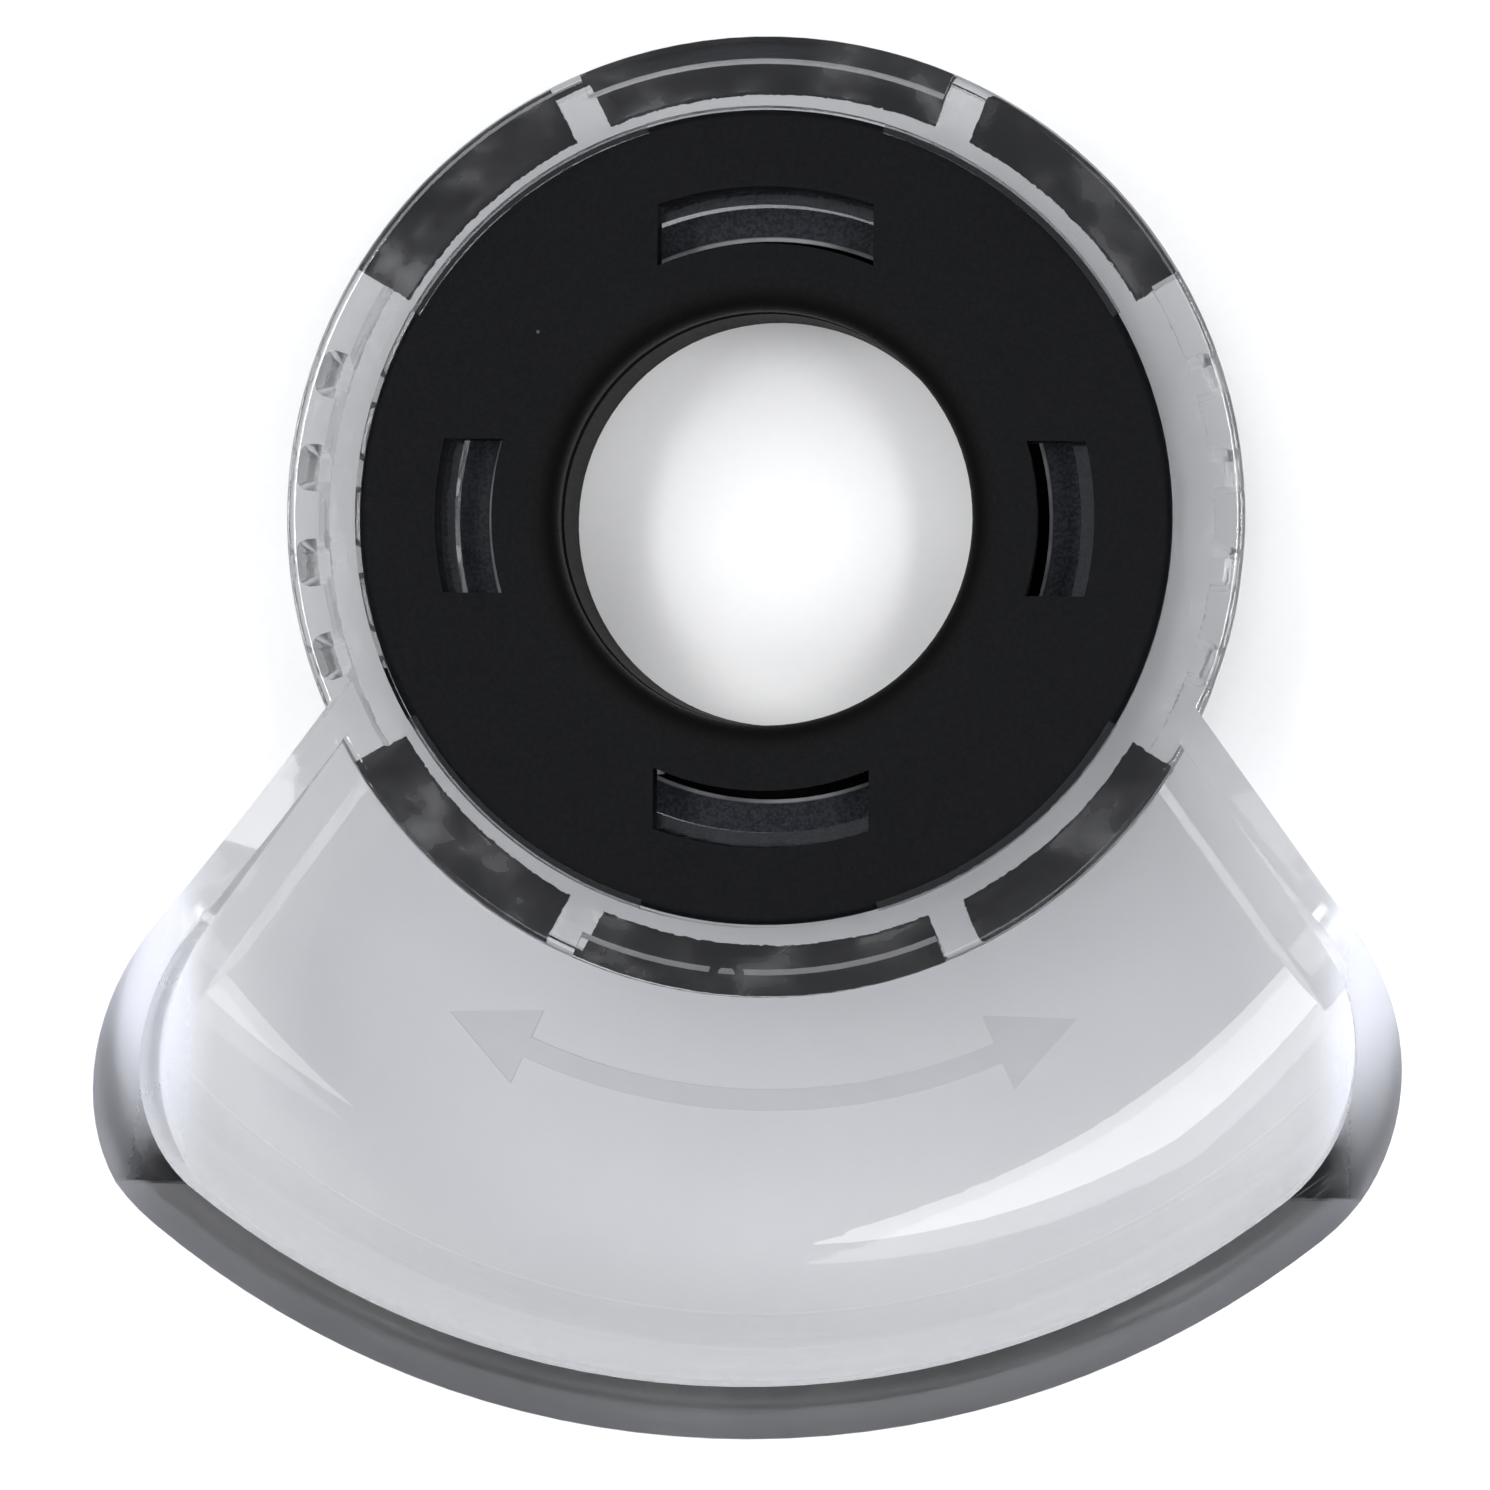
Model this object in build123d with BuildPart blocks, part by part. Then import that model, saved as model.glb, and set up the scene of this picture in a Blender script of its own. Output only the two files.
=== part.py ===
from build123d import *
from math import acos, cos, radians, sin, tan
import os

# Swivelling debris shield for a handheld rotary tool: a threaded collar and a clear visor.
# Millimetres. The origin is on the axis of the collar, at its rear face, which rests on a table.
# +Z is the way the tool points, towards the work. The visor hangs towards -Y, and +X is to the right.

# ---------------------------------------------------------------- driving dimensions
COLLAR_HEIGHT = 9.0
DISC_RADIUS = 17.15
DISC_THICKNESS = 1.8
DISC_EDGE_ROUND = 0.35

# thread of the tool's nose, 3/4 in - 12
THREAD_PITCH = 25.4 / 12
THREAD_MAJOR_RADIUS = 9.55
THREAD_CREST_RADIUS = 8.75
THREAD_RELIEF_FROM = 6.0
THREAD_RELIEF_TO = 7.1
THREAD_HALF_ANGLE = 30
THREAD_GROOVE_DEPTH = 1.25
ENTRY_CHAMFER = 0.6
MOUTH_ROUND = 1.1
RADIUS_TOLERANCE = 0.01

HUB_RADIUS = 11.1
FINGER_INNER_RADIUS = 11.9
FINGER_OUTER_RADIUS = 13.0
FINGER_TIP_RADIUS = 14.1
FINGER_TIP_HEIGHT = 5.4
FINGER_ROOT_HEIGHT = 1.3
FINGER_SLOPE_FROM = 2.4
FINGER_CATCH_THICKNESS = 0.5
FINGER_EDGE_CHAMFER = 0.2
FINGER_ROOT_OVERLAP = 0.5
WIDE_WINDOW_WIDTH = 9.1
NARROW_WINDOW_WIDTH = 6.5
FINGER_OVERHANG = 0.3
WINDOW_INNER_RADIUS = 11.5
WINDOW_OUTER_RADIUS = 13.9
EJECTOR_MARK_RADIUS = 0.75
EJECTOR_MARK_CENTRE = 13.45
EJECTOR_MARK_DEPTH = 0.15

WEB_INNER_RADIUS = 13.3
WEB_FROM = 5.55
WEB_TO = 7.1
RECESS_RADIUS = 17.25
RING_REAR_INNER_RADIUS = 16.4
RING_REAR = 3.6
RING_FRONT = 9.4
RING_RADIUS = 20.2
RING_EDGE_ROUND = 0.4
SLOPE_INNER_RADIUS = 18.1
SLOPE_HEIGHT = 2.5
LEDGE_RADIUS = 19.0
LEDGE_DEPTH = 0.25
LEDGE_HALF_ANGLE = 23
LIP_INNER_RADIUS = 16.85
LIP_OUTER_RADIUS = 17.45
LIP_THICKNESS = 0.3
LIP_ANGLE = 38.5
LIP_HALF_ANGLE = 21.5

GRIP_HALF_ANGLE = 31
GRIP_WALL_RADIUS = 18.9
GRIP_RIB_RADIUS = 19.9
GRIP_RIB_ANGLES = (-18, -6, 6, 18)
GRIP_RIB_WIDTH = 2.0
GRIP_RIB_CORNER = 0.5
GRIP_RIB_TAPER = 7
GRIP_RIB_HEIGHT = 4.0
GRIP_LIP_FROM = 8.2
GUSSET_ANGLE = 25
GUSSET_WIDTH = 1.6
GUSSET_RADIUS = 19.9

WALL = 1.2
RIM_WALL = 2.1
FLOOR_FRONT = 8.0
SIDE_ANGLE = 36
SIDE_OUTER_OFFSET = 10.1
SIDE_WALL = 1.4
SIDE_STRIP_WIDTH = 1.5
SIDE_STEP_WIDTH = 0.4
SIDE_STEP_HEIGHT = 1.0
SIDE_LENGTH = 26.0
VISOR_RADIUS = 37.4
VISOR_CORNER = 8.6
BOWL_START_RADIUS = 27.5
RIM_HEIGHT = 20.6
RIM_RISE_START = -8.6
RIM_RISE_END = -27.5
RIM_RISE_START_SLOPE = 0.1
RIM_RISE_END_SLOPE = 0.7
CLEAR_OF_RIM = 30.0

ARROW_HEIGHT = 0.25
ARROW_RADIUS = 24.6
ARROW_HALF_ANGLE = 24
ARROW_SHAFT_WIDTH = 0.9
ARROW_HEAD_WIDTH = 3.4
ARROW_HEAD_LENGTH = 3.6
MOULD_MARK_RADIUS = 0.75
MOULD_MARK_CENTRE = 19.3
MOULD_MARK_ANGLE = 266


# ---------------------------------------------------------------- shared shapes
def ring_sector(inner, outer, middle, half):
    """Sketch of the part of an annulus within half degrees of the middle angle."""
    reach = 3 * outer
    spokes = [middle - half, middle - half / 3, middle + half / 3, middle + half]
    tips = [(reach * cos(radians(a)), reach * sin(radians(a))) for a in spokes]
    with BuildSketch() as sector:
        Circle(outer)
        Circle(inner, mode=Mode.SUBTRACT)
        Polygon((0, 0), *tips, align=None, mode=Mode.INTERSECT)
    return sector.sketch


def visor_outline(side_offset, radius, corner):
    """Sketch of the fan: two straight sides, two round corners and a front arc about the axis."""
    side = radians(SIDE_ANGLE)
    corner_turn = side - acos((side_offset - corner) / (radius - corner))
    middle_x = (radius - corner) * cos(corner_turn)
    middle_y = (radius - corner) * sin(corner_turn)
    side_end = (middle_x + corner * cos(side), middle_y + corner * sin(side))
    arc_start = (radius * cos(corner_turn), radius * sin(corner_turn))
    knee = (side + corner_turn) / 2
    knee_point = (middle_x + corner * cos(knee), middle_y + corner * sin(knee))
    side_start = (side_end[0] - SIDE_LENGTH * sin(side), side_end[1] + SIDE_LENGTH * cos(side))
    with BuildSketch() as outline:
        with BuildLine() as edge:
            Line(side_start, side_end)
            ThreePointArc(side_end, knee_point, arc_start)
            ThreePointArc(arc_start, (0, -radius), (-arc_start[0], arc_start[1]))
            mirror(edge.edges().filter_by(lambda e: e.center().X > 1), about=Plane.YZ)
            Line(side_start, (-side_start[0], side_start[1]))
        make_face()
    return outline.sketch


# ---------------------------------------------------------------- threaded collar
disc_rear = COLLAR_HEIGHT - DISC_THICKNESS

with BuildPart() as thread_cutter:
    root_width = THREAD_PITCH / 8
    mouth_width = root_width + 2 * THREAD_GROOVE_DEPTH * tan(radians(THREAD_HALF_ANGLE))
    mouth_radius = THREAD_MAJOR_RADIUS - THREAD_GROOVE_DEPTH
    thread_length = THREAD_RELIEF_FROM + THREAD_PITCH
    with BuildLine():
        turns = Helix(THREAD_PITCH, thread_length, THREAD_CREST_RADIUS, center=(0, 0, -THREAD_PITCH))
    with BuildSketch(Plane.XZ):
        with BuildLine():
            Polyline(
                (THREAD_MAJOR_RADIUS, -THREAD_PITCH - root_width / 2),
                (THREAD_MAJOR_RADIUS, -THREAD_PITCH + root_width / 2),
                (mouth_radius, -THREAD_PITCH + mouth_width / 2),
                (mouth_radius, -THREAD_PITCH - mouth_width / 2),
                close=True,
            )
        make_face()
    sweep(path=turns, is_frenet=True)

with BuildPart() as snap_fingers:
    # one ring of the finger's profile, cut into four by a cross
    with BuildSketch(Plane.XZ):
        with BuildLine():
            Polyline(
                (HUB_RADIUS - FINGER_ROOT_OVERLAP, 0),
                (FINGER_OUTER_RADIUS, 0),
                (FINGER_OUTER_RADIUS, FINGER_SLOPE_FROM),
                (FINGER_TIP_RADIUS, FINGER_TIP_HEIGHT - FINGER_CATCH_THICKNESS),
                (FINGER_TIP_RADIUS, FINGER_TIP_HEIGHT),
                (FINGER_INNER_RADIUS + FINGER_EDGE_CHAMFER, FINGER_TIP_HEIGHT),
                (FINGER_INNER_RADIUS, FINGER_TIP_HEIGHT - FINGER_EDGE_CHAMFER),
                (FINGER_INNER_RADIUS, FINGER_ROOT_HEIGHT),
                (HUB_RADIUS - FINGER_ROOT_OVERLAP, FINGER_ROOT_HEIGHT),
                close=True,
            )
        make_face()
    revolve(axis=Axis.Z)
    with BuildSketch():
        Rectangle(WIDE_WINDOW_WIDTH + 2 * FINGER_OVERHANG, 2 * DISC_RADIUS)
        Rectangle(2 * DISC_RADIUS, NARROW_WINDOW_WIDTH + 2 * FINGER_OVERHANG)
    extrude(amount=COLLAR_HEIGHT, mode=Mode.INTERSECT)
    # round ejector marks in the tips
    with BuildSketch(Plane.XY.offset(FINGER_TIP_HEIGHT)):
        with PolarLocations(EJECTOR_MARK_CENTRE, 4):
            Circle(EJECTOR_MARK_RADIUS)
    extrude(amount=-EJECTOR_MARK_DEPTH, mode=Mode.SUBTRACT)

with BuildPart() as threaded_collar:
    with BuildSketch(Plane.XY.offset(disc_rear)):
        Circle(DISC_RADIUS)
    extrude(amount=DISC_THICKNESS)
    fillet(threaded_collar.edges().group_by(Axis.Z)[-1], DISC_EDGE_ROUND)

    # a window through the disc over each finger
    with BuildSketch(Plane.XY.offset(disc_rear)):
        with BuildSketch(mode=Mode.PRIVATE) as window_cross:
            Rectangle(WIDE_WINDOW_WIDTH, 2 * DISC_RADIUS)
            Rectangle(2 * DISC_RADIUS, NARROW_WINDOW_WIDTH)
        Circle(WINDOW_OUTER_RADIUS)
        Circle(WINDOW_INNER_RADIUS, mode=Mode.SUBTRACT)
        add(window_cross.sketch, mode=Mode.INTERSECT)
    extrude(amount=DISC_THICKNESS, mode=Mode.SUBTRACT)

    with BuildSketch():
        Circle(HUB_RADIUS)
    extrude(amount=disc_rear + DISC_THICKNESS / 2)
    add(snap_fingers.part)

    # bore, rounded mouth at the front, chamfered entry at the rear
    with BuildSketch():
        Circle(THREAD_CREST_RADIUS)
    extrude(amount=COLLAR_HEIGHT, mode=Mode.SUBTRACT)
    bore_edges = threaded_collar.edges().filter_by(GeomType.CIRCLE)
    bore_edges = bore_edges.filter_by(lambda e: abs(e.radius - THREAD_CREST_RADIUS) < RADIUS_TOLERANCE)
    fillet(bore_edges.sort_by(Axis.Z)[-1], MOUTH_ROUND)
    chamfer(bore_edges.sort_by(Axis.Z)[0], ENTRY_CHAMFER)

    # relief at the inner end of the thread, then the thread itself
    with BuildSketch(Plane.XY.offset(THREAD_RELIEF_FROM)):
        Circle(THREAD_MAJOR_RADIUS)
    extrude(amount=THREAD_RELIEF_TO - THREAD_RELIEF_FROM, mode=Mode.SUBTRACT)
    add(thread_cutter.part, mode=Mode.SUBTRACT)

threaded_collar.part.label = "threaded_collar"

# ---------------------------------------------------------------- shield
floor_rear = FLOOR_FRONT - WALL
front_inner_radius = VISOR_RADIUS - RIM_WALL


def bowl_section(low, outer):
    """Sketch on XZ of everything in front of a bowl with a flat floor at low and a wall at outer."""
    radius = outer - BOWL_START_RADIUS
    middle = low + radius
    knee = (BOWL_START_RADIUS + radius * sin(radians(45)), middle - radius * sin(radians(45)))
    top = RIM_HEIGHT + WALL
    with BuildSketch(Plane.XZ) as section:
        with BuildLine():
            Line((0, low), (BOWL_START_RADIUS, low))
            ThreePointArc((BOWL_START_RADIUS, low), knee, (outer, middle))
            Line((outer, middle), (outer, top))
            Line((outer, top), (0, top))
            Line((0, top), (0, low))
        make_face()
    return section.sketch


with BuildPart() as visor_space:
    # the hollow of the visor: its floor, a step and a flat strip along each side, then the walls
    wall_offset = SIDE_OUTER_OFFSET - SIDE_WALL
    strip_offset = wall_offset - SIDE_STRIP_WIDTH
    floor_offset = strip_offset - SIDE_STEP_WIDTH
    wall_corner = VISOR_CORNER - SIDE_WALL
    strip_corner = wall_corner - SIDE_STRIP_WIDTH
    floor_corner = strip_corner - SIDE_STEP_WIDTH
    strip_front = FLOOR_FRONT + SIDE_STEP_HEIGHT
    with BuildSketch(Plane.XY.offset(FLOOR_FRONT)):
        add(visor_outline(floor_offset, front_inner_radius, floor_corner))
    with BuildSketch(Plane.XY.offset(strip_front)):
        add(visor_outline(strip_offset, front_inner_radius, strip_corner))
    loft(ruled=True)
    with BuildSketch(Plane.XY.offset(strip_front)):
        add(visor_outline(wall_offset, front_inner_radius, wall_corner))
    extrude(amount=RIM_HEIGHT)
    add(bowl_section(FLOOR_FRONT, front_inner_radius))
    revolve(axis=Axis.Z, mode=Mode.INTERSECT)

with BuildPart() as visor:
    with BuildSketch():
        add(visor_outline(SIDE_OUTER_OFFSET, VISOR_RADIUS, VISOR_CORNER))
    extrude(amount=RIM_HEIGHT)
    add(bowl_section(floor_rear, VISOR_RADIUS))
    revolve(axis=Axis.Z, mode=Mode.INTERSECT)
    add(visor_space.part, mode=Mode.SUBTRACT)

    # the rim rises from the ring to the corners
    above_rim = RIM_HEIGHT + WALL
    with BuildSketch(Plane.YZ):
        with BuildLine():
            rise = Spline(
                (RIM_RISE_START, RING_FRONT),
                (RIM_RISE_END, RIM_HEIGHT),
                tangents=((-1, RIM_RISE_START_SLOPE), (-1, RIM_RISE_END_SLOPE)),
            )
            Line(rise @ 1, (RIM_RISE_END, above_rim))
            Line((RIM_RISE_END, above_rim), (CLEAR_OF_RIM, above_rim))
            Line((CLEAR_OF_RIM, above_rim), (CLEAR_OF_RIM, RING_FRONT))
            Line((CLEAR_OF_RIM, RING_FRONT), rise @ 0)
        make_face()
    extrude(amount=2 * VISOR_RADIUS, both=True, mode=Mode.SUBTRACT)

with BuildPart() as front_ledge:
    # what the two shallow ledges take off the front of the ring
    ledge_floor = RING_FRONT - LEDGE_DEPTH
    with BuildSketch(Plane.XZ):
        with BuildLine():
            Polyline(
                (LEDGE_RADIUS, RING_FRONT),
                (LEDGE_RADIUS + LEDGE_DEPTH, ledge_floor),
                (RING_RADIUS + WALL, ledge_floor),
                (RING_RADIUS + WALL, RING_FRONT),
                close=True,
            )
        make_face()
    revolve(axis=Axis.Z)
    with BuildSketch(Plane.XY.offset(ledge_floor)):
        for middle in (90, 270):
            add(ring_sector(RECESS_RADIUS, 2 * RING_RADIUS, middle, LEDGE_HALF_ANGLE))
    extrude(amount=LEDGE_DEPTH, mode=Mode.INTERSECT)

with BuildPart() as shield:
    # ring: wall, web and sloped rear edge
    with BuildSketch(Plane.XZ):
        with BuildLine():
            Polyline(
                (WEB_INNER_RADIUS, WEB_FROM),
                (RING_REAR_INNER_RADIUS, WEB_FROM),
                (RING_REAR_INNER_RADIUS, RING_REAR),
                (SLOPE_INNER_RADIUS, RING_REAR),
                (RING_RADIUS, RING_REAR + SLOPE_HEIGHT),
                (RING_RADIUS, RING_FRONT),
                (RECESS_RADIUS, RING_FRONT),
                (RECESS_RADIUS, WEB_TO),
                (WEB_INNER_RADIUS, WEB_TO),
                close=True,
            )
        make_face()
    revolve(axis=Axis.Z)
    front_edges = shield.edges().group_by(Axis.Z)[-1]
    fillet(front_edges.sort_by(SortBy.RADIUS)[-1], RING_EDGE_ROUND)

    # side sectors: a thinner wall with a lip in front and four ribs to grip
    with BuildSketch(Plane.XY.offset(RING_REAR)):
        add(ring_sector(GRIP_WALL_RADIUS, 2 * RING_RADIUS, 0, GRIP_HALF_ANGLE))
        add(ring_sector(GRIP_WALL_RADIUS, 2 * RING_RADIUS, 180, GRIP_HALF_ANGLE))
    extrude(amount=GRIP_LIP_FROM - RING_REAR, mode=Mode.SUBTRACT)
    wall_middle = (RECESS_RADIUS + SLOPE_INNER_RADIUS) / 2
    with BuildSketch(Plane.XY.offset(RING_REAR)):
        add(ring_sector(wall_middle, GRIP_WALL_RADIUS, 0, GRIP_HALF_ANGLE))
        add(ring_sector(wall_middle, GRIP_WALL_RADIUS, 180, GRIP_HALF_ANGLE))
    extrude(amount=GRIP_LIP_FROM - RING_REAR)
    rib_length = GRIP_RIB_RADIUS - SLOPE_INNER_RADIUS
    rib_middle = SLOPE_INNER_RADIUS + rib_length / 2
    with BuildSketch(Plane.XY.offset(GRIP_LIP_FROM)):
        for side in (0, 180):
            for angle in GRIP_RIB_ANGLES:
                with PolarLocations(rib_middle, 1, side + angle):
                    RectangleRounded(rib_length, GRIP_RIB_WIDTH, GRIP_RIB_CORNER)
    extrude(amount=GRIP_RIB_HEIGHT, dir=(0, 0, -1), taper=GRIP_RIB_TAPER)
    add(front_ledge.part, mode=Mode.SUBTRACT)

    # gussets across the sloped edge
    for middle in (90, 270):
        for turn in (-GUSSET_ANGLE, GUSSET_ANGLE):
            with BuildSketch(Plane.XY.offset(RING_REAR)):
                with PolarLocations((wall_middle + GUSSET_RADIUS) / 2, 1, middle + turn):
                    Rectangle(GUSSET_RADIUS - wall_middle, GUSSET_WIDTH)
            extrude(amount=SLOPE_HEIGHT)

    add(visor.part)
    # the collar's recess and the rear bore stay open
    with BuildSketch(Plane.XY.offset(WEB_TO)):
        Circle(RECESS_RADIUS)
    extrude(amount=RIM_HEIGHT, mode=Mode.SUBTRACT)
    with BuildSketch():
        Circle(WEB_INNER_RADIUS)
    extrude(amount=RIM_HEIGHT, mode=Mode.SUBTRACT)

    # retaining lips over the edge of the disc
    for middle in (90, 270):
        for turn in (-LIP_ANGLE, LIP_ANGLE):
            with BuildSketch(Plane.XY.offset(RING_FRONT - LIP_THICKNESS)):
                add(ring_sector(LIP_INNER_RADIUS, LIP_OUTER_RADIUS, middle + turn, LIP_HALF_ANGLE))
            extrude(amount=LIP_THICKNESS)

    # raised arrow with two heads on the back of the visor's floor, for the way the shield turns
    with BuildSketch(Plane.XY.offset(floor_rear - ARROW_HEIGHT)):
        half_width = ARROW_SHAFT_WIDTH / 2
        add(ring_sector(ARROW_RADIUS - half_width, ARROW_RADIUS + half_width, 270, ARROW_HALF_ANGLE))
        for sense in (-1, 1):
            with PolarLocations(ARROW_RADIUS, 1, 270 + sense * ARROW_HALF_ANGLE):
                Polygon(
                    (-ARROW_HEAD_WIDTH / 2, 0),
                    (ARROW_HEAD_WIDTH / 2, 0),
                    (0, sense * ARROW_HEAD_LENGTH),
                    align=None,
                )
    extrude(amount=ARROW_HEIGHT)

    # small raised circle left by the mould on the ledge
    with BuildSketch(Plane.XY.offset(ledge_floor)):
        with PolarLocations(MOULD_MARK_CENTRE, 1, MOULD_MARK_ANGLE):
            Circle(MOULD_MARK_RADIUS)
            Circle(MOULD_MARK_RADIUS / 2, mode=Mode.SUBTRACT)
    extrude(amount=LEDGE_DEPTH)
shield.part.label = "shield"

# ---------------------------------------------------------------- output
os.makedirs("parts", exist_ok=True)
export_step(threaded_collar.part, "parts/threaded_collar.step")
export_step(shield.part, "parts/shield.step")
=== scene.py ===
import math
import bpy
from mathutils import Matrix, Vector

MM = 0.001

# Camera: the face plane of the ring is 250 mm away, and the picture is 62.6 mm wide there.
FACE_PLANE_Z = 9.0 * MM
AIM = Vector((-0.67 * MM, -9.58 * MM, FACE_PLANE_Z))
CAMERA_DISTANCE = 250 * MM
PICTURE_WIDTH = 62.6 * MM
SENSOR_WIDTH = 36.0
CAMERA_CLIP = 0.01
CAMERA_LEAN = math.radians(5.0)
CAMERA_ROLL = math.radians(0.5)

# Places that the materials use to tell the areas of the two parts apart.
BORE_RADIUS = 9.3 * MM
MOUTH_FROM = 10.3 * MM
FINGER_INNER = 11.7 * MM
FINGER_OUTER = 14.3 * MM
FINGER_TIP_Z = 5.7 * MM
FINGER_FADE_FROM = FINGER_TIP_Z - 1.2 * MM
FINGER_FADE_TO = FINGER_TIP_Z - 0.7 * MM
# the band along the finger tips' inner edge where a highlight is painted
HIGHLIGHT_INNER_FROM = FINGER_INNER + 0.10 * MM
HIGHLIGHT_INNER_TO = FINGER_INNER + 0.16 * MM
HIGHLIGHT_OUTER_FROM = FINGER_INNER + 0.40 * MM
HIGHLIGHT_OUTER_TO = FINGER_INNER + 0.30 * MM
RING_OUTER = 20.3 * MM
RING_FADE = 0.3 * MM
RIM_TOP = 20.6 * MM
RIM_FADE_FROM = RIM_TOP - 0.12 * MM
RIM_FADE_TO = RIM_TOP - 0.04 * MM
RIM_MIDDLE = 36.3 * MM
RIM_HALF_FADE = 0.25 * MM
SLOPE_FROM = 18.15 * MM
SLOPE_TOP = 6.2 * MM
ARROW_BASE = 6.78 * MM
ARROW_FADE = 0.04 * MM
ARROW_INNER_FROM = RING_OUTER + 0.8 * MM
ARROW_INNER_TO = RING_OUTER + 1.0 * MM
CORNER_FROM = 23.0 * MM
CORNER_TO = 25.5 * MM
FADE = 0.1 * MM

# Black plastic
DISC_DARK = (0.0020, 0.0023, 0.0030, 1)
DISC_LIGHT = (0.0032, 0.0036, 0.0046, 1)
# painted shade: the bore is coloured darker than the disc
BORE_PAINTED_SHADE = (0.0018, 0.0018, 0.0020, 1)
# painted sheen: the finger tips are coloured lighter than the disc, though they are the same plastic
TIP_SHEEN_DARK = (0.016, 0.018, 0.023, 1)
TIP_SHEEN_LIGHT = (0.034, 0.037, 0.045, 1)
# painted highlight: light grey along the finger tips' inner edge
EDGE_HIGHLIGHT = (0.55, 0.56, 0.58, 1)
DUST_ON_BLACK = (0.16, 0.16, 0.17, 1)
DUST_ON_BLACK_SHARE = 0.4
MATTE_FROM = 0.58
MATTE_TO = 0.72
TIP_ROUGHNESS = 0.22
BLACK_SPECULAR = 0.09
BLACK_BUMP_DEPTH = 0.02 * MM
DISC_BUMP = 0.35
TIP_BUMP = 0.10

# Clear plastic
CLEAR_DARK = (0.562, 0.565, 0.580, 1)
CLEAR_LIGHT = (0.607, 0.610, 0.624, 1)
# painted light: the rim top and the corners are tinted paler than the rest of the clear plastic
PAINTED_LIGHT_RIM_AND_CORNERS = (0.88, 0.895, 0.975, 1)
# painted shade: the arrow's face is coloured darker so that it shows
ARROW_PAINTED_SHADE = (0.48, 0.485, 0.51, 1)
DUST_ON_CLEAR = (0.42, 0.43, 0.46, 1)
DUST_ON_CLEAR_SHARE = 0.5
SHADOW_TINT = (0.68, 0.682, 0.69, 1)
CLEAR_IOR = 1.58
RIM_FROST_INNER = 0.36
RIM_FROST_OUTER = 1.0
CORNER_FROST = 0.36
SLOPE_FROST_LEAST = 0.04
SLOPE_FROST_MOST = 0.40
POLISH_LEAST = 0.012
POLISH_MOST = 0.05
WAVE_DEPTH = 0.03 * MM
WAVE_BUMP = 0.25
MARK_DEPTH = 0.06 * MM
VISOR_BUMP = 0.02
RING_BUMP = 0.45

# Floor, softboxes and world. A softbox has a name, a place, a width, a height and a power in watts.
PAPER_DARK = (0.88, 0.88, 0.88, 1)
PAPER_LIGHT = (0.92, 0.92, 0.92, 1)
PAPER_ROUGHNESS = 0.85
FLOOR_REACH = 2.0
FLOOR_DROP = 0.05 * MM
SOFTBOXES = (
    ("key_softbox", (-0.27, 0.24, 0.58), 0.30, 0.50, 1.75),
    ("fill_softbox", (0.32, 0.12, 0.58), 0.30, 0.50, 1.05),
    ("front_softbox", (0.0, -0.34, 0.58), 0.60, 0.26, 1.25),
    ("left_strip", (-0.235, 0.03, 0.60), 0.07, 0.20, 0.75),
    ("right_strip", (0.235, 0.03, 0.60), 0.07, 0.20, 0.75),
)
WORLD_COLOUR = (0.80, 0.82, 0.88, 1)
WORLD_STRENGTH = 0.40


def look_at(item, target, roll=0.0):
    """Turns an object so that its -Z axis points at target and +Y is up in the picture."""
    back = (item.location - Vector(target)).normalized()
    right = Vector((0, 1, 0)).cross(back).normalized()
    up = back.cross(right)
    turned = [
        right * math.cos(roll) + up * math.sin(roll),
        up * math.cos(roll) - right * math.sin(roll),
        back,
    ]
    item.rotation_mode = "QUATERNION"
    item.rotation_quaternion = Matrix(turned).transposed().to_quaternion()


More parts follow.
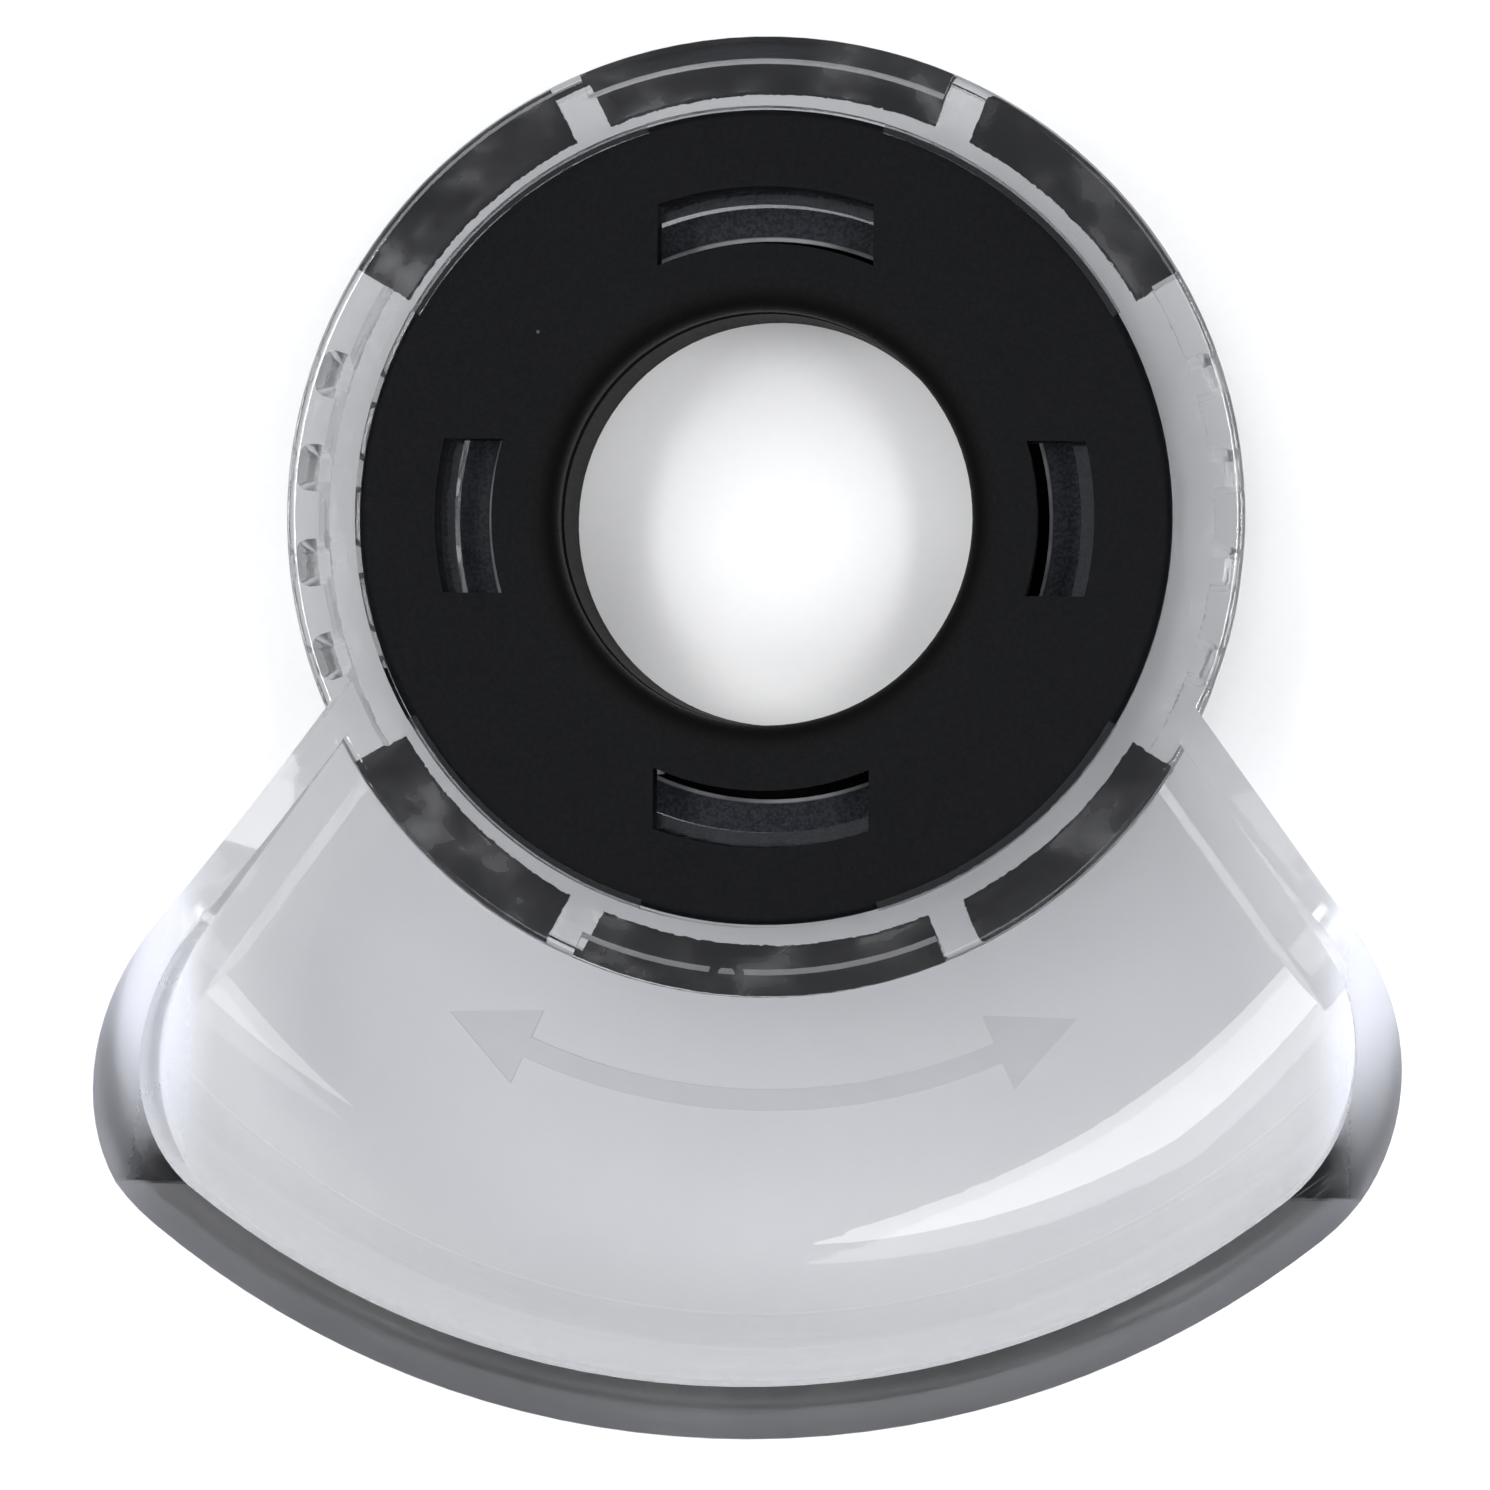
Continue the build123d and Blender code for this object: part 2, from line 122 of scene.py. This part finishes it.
class Tree:
    """A short way to write a node tree. Most calls add a node and return its output."""

    def __init__(self, owner):
        owner.use_nodes = True
        self.nodes = owner.node_tree.nodes
        self.links = owner.node_tree.links
        self.nodes.clear()

    def put(self, socket, value):
        """Links value to the socket if it is an output, and sets it as a constant if not."""
        if isinstance(value, bpy.types.NodeSocket):
            self.links.new(value, socket)
        else:
            socket.default_value = value

    def math(self, operation, first, second=0.0):
        node = self.nodes.new("ShaderNodeMath")
        node.operation = operation
        self.put(node.inputs[0], first)
        self.put(node.inputs[1], second)
        return node.outputs[0]

    def both(self, first, second):
        """The product of two masks."""
        return self.math("MULTIPLY", first, second)

    def ramp(self, value, low, high, to_low=0.0, to_high=1.0):
        """A smooth step from to_low, where value is low, to to_high, where it is high."""
        node = self.nodes.new("ShaderNodeMapRange")
        node.interpolation_type = "SMOOTHSTEP"
        self.put(node.inputs["Value"], value)
        self.put(node.inputs["From Min"], low)
        self.put(node.inputs["From Max"], high)
        self.put(node.inputs["To Min"], to_low)
        self.put(node.inputs["To Max"], to_high)
        return node.outputs[0]

    def noise(self, where, scale, detail, roughness=0.5):
        node = self.nodes.new("ShaderNodeTexNoise")
        self.put(node.inputs["Vector"], where)
        self.put(node.inputs["Scale"], scale)
        self.put(node.inputs["Detail"], detail)
        self.put(node.inputs["Roughness"], roughness)
        return node.outputs["Fac"]

    def blend(self, factor, first, second):
        """A colour that goes from first to second as factor goes from 0 to 1."""
        node = self.nodes.new("ShaderNodeMix")
        node.data_type = "RGBA"
        self.put(node.inputs[0], factor)
        self.put(node.inputs[6], first)
        self.put(node.inputs[7], second)
        return node.outputs[2]

    def blend_value(self, factor, first, second):
        node = self.nodes.new("ShaderNodeMix")
        self.put(node.inputs[0], factor)
        self.put(node.inputs[2], first)
        self.put(node.inputs[3], second)
        return node.outputs[0]

    def position(self):
        """The point in the row frame, its x, its distance from the ring's axis, and its height."""
        where = self.nodes.new("ShaderNodeTexCoord").outputs["Object"]
        parts = self.nodes.new("ShaderNodeSeparateXYZ")
        self.put(parts.inputs[0], where)
        x, y, z = parts.outputs
        squares = self.math("ADD", self.math("MULTIPLY", x, x), self.math("MULTIPLY", y, y))
        return where, x, self.math("SQRT", squares), z

    def specks(self, where, scale, size, share):
        """Mask of small round specks: size is their radius in cells, share the share of cells with one."""
        node = self.nodes.new("ShaderNodeTexVoronoi")
        self.put(node.inputs["Vector"], where)
        self.put(node.inputs["Scale"], scale)
        near = self.ramp(node.outputs["Distance"], size, size / 2)
        colour = self.nodes.new("ShaderNodeSeparateColor")
        self.put(colour.inputs[0], node.outputs["Color"])
        return self.both(near, self.math("LESS_THAN", colour.outputs[0], share))

    def bump(self, depth, strength, height):
        node = self.nodes.new("ShaderNodeBump")
        self.put(node.inputs["Distance"], depth)
        self.put(node.inputs["Strength"], strength)
        self.put(node.inputs["Height"], height)
        return node

    def principled(self, colour, roughness):
        node = self.nodes.new("ShaderNodeBsdfPrincipled")
        self.put(node.inputs["Base Color"], colour)
        self.put(node.inputs["Roughness"], roughness)
        return node

    def surface(self, shader):
        out = self.nodes.new("ShaderNodeOutputMaterial")
        self.put(out.inputs["Surface"], shader)


def black_plastic():
    """Matte disc with a fine grain and a bore coloured darker as painted shade; glossy finger tips
    coloured lighter as painted sheen, with a painted highlight along their inner edge.
    """
    mat = bpy.data.materials.new("black_moulded_plastic")
    tree = Tree(mat)
    where, _, radius, height = tree.position()
    past_inner = tree.ramp(radius, FINGER_INNER - FADE, FINGER_INNER)
    past_outer = tree.ramp(radius, FINGER_OUTER + FADE, FINGER_OUTER)
    below_tip = tree.ramp(height, FINGER_TIP_Z, FINGER_TIP_Z - FADE)
    above_root = tree.ramp(height, FINGER_FADE_FROM, FINGER_FADE_TO)
    on_finger = tree.both(tree.both(past_inner, past_outer), tree.both(below_tip, above_root))
    # painted highlight: a light band along the finger tips' inner edge
    highlight_from = tree.ramp(radius, HIGHLIGHT_INNER_FROM, HIGHLIGHT_INNER_TO)
    highlight_to = tree.ramp(radius, HIGHLIGHT_OUTER_FROM, HIGHLIGHT_OUTER_TO)
    highlight_band = tree.both(tree.both(highlight_from, highlight_to), on_finger)

    grain = tree.noise(where, 7500, 4, 0.6)
    mottle = tree.noise(where, 240, 3)
    dust = tree.specks(where, 520, 0.05, 0.03)
    # painted shade: the colour darkens towards the bore
    bore_shade = tree.ramp(radius, MOUTH_FROM, BORE_RADIUS)
    shade = tree.blend(bore_shade, tree.blend(mottle, DISC_DARK, DISC_LIGHT), BORE_PAINTED_SHADE)
    # painted sheen: the finger tips get a lighter colour, varied by the grain
    tip = tree.blend(tree.ramp(grain, 0.4, 0.6), TIP_SHEEN_DARK, TIP_SHEEN_LIGHT)
    tips = tree.blend(on_finger, shade, tip)
    # the painted highlight is varied in strength by the mottle
    highlight_strength = tree.both(highlight_band, tree.ramp(mottle, 0.35, 0.6, 0.35, 0.9))
    with_highlight = tree.blend(highlight_strength, tips, EDGE_HIGHLIGHT)
    colour = tree.blend(tree.math("MULTIPLY", dust, DUST_ON_BLACK_SHARE), with_highlight, DUST_ON_BLACK)
    matte = tree.ramp(grain, 0.3, 0.7, MATTE_FROM, MATTE_TO)
    roughness = tree.blend_value(on_finger, matte, TIP_ROUGHNESS)
    strength = tree.ramp(on_finger, 0, 1, DISC_BUMP, TIP_BUMP)

    shader = tree.principled(colour, roughness)
    tree.put(shader.inputs["Normal"], tree.bump(BLACK_BUMP_DEPTH, strength, grain).outputs[0])
    tree.put(shader.inputs["IOR"], 1.5)
    tree.put(shader.inputs["Specular IOR Level"], BLACK_SPECULAR)
    tree.surface(shader.outputs[0])
    return mat


def clear_plastic():
    """Polished glass-like plastic, with a frosted rim, milky corners and flow marks in the ring; the rim
    top and corners are tinted paler as painted light, and the arrow darker as painted shade.
    """
    mat = bpy.data.materials.new("clear_polycarbonate")
    tree = Tree(mat)
    where, x, radius, height = tree.position()
    wave = tree.noise(where, 110, 2)
    flow = tree.noise(where, 560, 4, 0.62)
    fine = tree.noise(where, 2600, 3)
    cloud = tree.noise(where, 330, 2)
    on_ring = tree.ramp(radius, RING_OUTER + RING_FADE, RING_OUTER)
    on_rim = tree.ramp(height, RIM_FADE_FROM, RIM_FADE_TO)
    rim_outer = tree.ramp(radius, RIM_MIDDLE - RIM_HALF_FADE, RIM_MIDDLE + RIM_HALF_FADE)
    corner = tree.ramp(tree.math("ABSOLUTE", x), CORNER_FROM, CORNER_TO)
    under_ring = tree.both(tree.ramp(height, SLOPE_TOP, SLOPE_TOP - FADE), on_ring)
    on_slope = tree.both(under_ring, tree.ramp(radius, SLOPE_FROM, SLOPE_FROM + FADE))
    past_ring = tree.ramp(radius, ARROW_INNER_FROM, ARROW_INNER_TO)
    on_arrow = tree.both(past_ring, tree.ramp(height, ARROW_BASE, ARROW_BASE - ARROW_FADE))

    milky = tree.ramp(rim_outer, 0, 1, RIM_FROST_INNER, RIM_FROST_OUTER)
    patches = tree.ramp(wave, 0.30, 0.70, 0.80, 1.0)
    rim_frost = tree.both(on_rim, tree.both(milky, patches))
    corner_frost = tree.math("MULTIPLY", corner, CORNER_FROST)
    slope_frost = tree.both(on_slope, tree.ramp(cloud, 0.35, 0.80, SLOPE_FROST_LEAST, SLOPE_FROST_MOST))
    frost = tree.math("MAXIMUM", tree.math("MAXIMUM", rim_frost, corner_frost), slope_frost)
    smooth = tree.ramp(fine, 0.35, 0.75, POLISH_LEAST, POLISH_MOST)
    roughness = tree.math("ADD", smooth, frost)

    dust = tree.specks(where, 260, 0.035, 0.05)
    tint = tree.blend(wave, CLEAR_DARK, CLEAR_LIGHT)
    # painted light: a paler tint on the rim top and the corners
    pale = tree.blend(tree.math("MAXIMUM", on_rim, corner), tint, PAINTED_LIGHT_RIM_AND_CORNERS)
    # painted shade: the arrow's face is darkened
    raised = tree.blend(on_arrow, pale, ARROW_PAINTED_SHADE)
    colour = tree.blend(tree.math("MULTIPLY", dust, DUST_ON_CLEAR_SHARE), raised, DUST_ON_CLEAR)

    waves = tree.bump(WAVE_DEPTH, WAVE_BUMP, wave)
    marks = tree.bump(MARK_DEPTH, tree.ramp(on_ring, 0, 1, VISOR_BUMP, RING_BUMP), flow)
    tree.put(marks.inputs["Normal"], waves.outputs[0])

    shader = tree.principled(colour, roughness)
    tree.put(shader.inputs["Normal"], marks.outputs[0])
    tree.put(shader.inputs["IOR"], CLEAR_IOR)
    tree.put(shader.inputs["Transmission Weight"], 1.0)

    # shadow rays go straight through
    clear = tree.nodes.new("ShaderNodeBsdfTransparent")
    tree.put(clear.inputs["Color"], SHADOW_TINT)
    path = tree.nodes.new("ShaderNodeLightPath")
    mix = tree.nodes.new("ShaderNodeMixShader")
    tree.put(mix.inputs[0], path.outputs["Is Shadow Ray"])
    tree.put(mix.inputs[1], shader.outputs[0])
    tree.put(mix.inputs[2], clear.outputs[0])
    tree.surface(mix.outputs[0])
    return mat


def floor_paper():
    mat = bpy.data.materials.new("pale_floor")
    tree = Tree(mat)
    where = tree.position()[0]
    fibre = tree.noise(where, 1800, 4, 0.6)
    shader = tree.principled(tree.blend(fibre, PAPER_DARK, PAPER_LIGHT), PAPER_ROUGHNESS)
    tree.surface(shader.outputs[0])
    return mat


def dress(node, material):
    """Gives a CAD node one material in each of its slots."""
    for slot in node.material_slots:
        slot.material = material


def softbox(name, place, width, height, power):
    """A rectangular area light that points at the row frame's origin."""
    light = bpy.data.lights.new(name, "AREA")
    light.shape = "RECTANGLE"
    light.size = width
    light.size_y = height
    light.energy = power
    item = bpy.data.objects.new(name, light)
    item.location = place
    bpy.context.scene.collection.objects.link(item)
    look_at(item, (0, 0, 0))


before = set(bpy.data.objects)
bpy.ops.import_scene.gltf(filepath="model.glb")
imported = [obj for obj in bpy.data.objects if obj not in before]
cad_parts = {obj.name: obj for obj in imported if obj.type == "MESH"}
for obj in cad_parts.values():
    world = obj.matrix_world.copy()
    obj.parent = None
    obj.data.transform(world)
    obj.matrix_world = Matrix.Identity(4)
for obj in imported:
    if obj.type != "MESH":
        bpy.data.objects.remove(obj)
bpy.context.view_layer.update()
dress(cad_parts["threaded_collar"], black_plastic())
dress(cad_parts["shield"], clear_plastic())

# Stage
floor_mesh = bpy.data.meshes.new("floor")
corners = [
    (-FLOOR_REACH, -FLOOR_REACH, 0),
    (FLOOR_REACH, -FLOOR_REACH, 0),
    (FLOOR_REACH, FLOOR_REACH, 0),
    (-FLOOR_REACH, FLOOR_REACH, 0),
]
floor_mesh.from_pydata(corners, [], [(0, 1, 2, 3)])
floor_mesh.materials.append(floor_paper())
floor = bpy.data.objects.new("floor", floor_mesh)
floor.location.z = -FLOOR_DROP
bpy.context.scene.collection.objects.link(floor)

# Light
for name, place, width, height, power in SOFTBOXES:
    softbox(name, place, width, height, power)
world = bpy.data.worlds.new("studio")
bpy.context.scene.world = world
sky = Tree(world)
backdrop = sky.nodes.new("ShaderNodeBackground")
sky.put(backdrop.inputs["Color"], WORLD_COLOUR)
sky.put(backdrop.inputs["Strength"], WORLD_STRENGTH)
world_out = sky.nodes.new("ShaderNodeOutputWorld")
sky.put(world_out.inputs["Surface"], backdrop.outputs[0])

# Camera
camera_data = bpy.data.cameras.new("camera")
camera_data.sensor_width = SENSOR_WIDTH
camera_data.lens = SENSOR_WIDTH * CAMERA_DISTANCE / PICTURE_WIDTH
camera_data.clip_start = CAMERA_CLIP
camera = bpy.data.objects.new("camera", camera_data)
bpy.context.scene.collection.objects.link(camera)
toward_camera = Vector((math.sin(CAMERA_LEAN), 0, math.cos(CAMERA_LEAN)))
camera.location = AIM + CAMERA_DISTANCE * toward_camera
look_at(camera, AIM, CAMERA_ROLL)
bpy.context.scene.camera = camera
bpy.context.scene.view_settings.view_transform = "Standard"
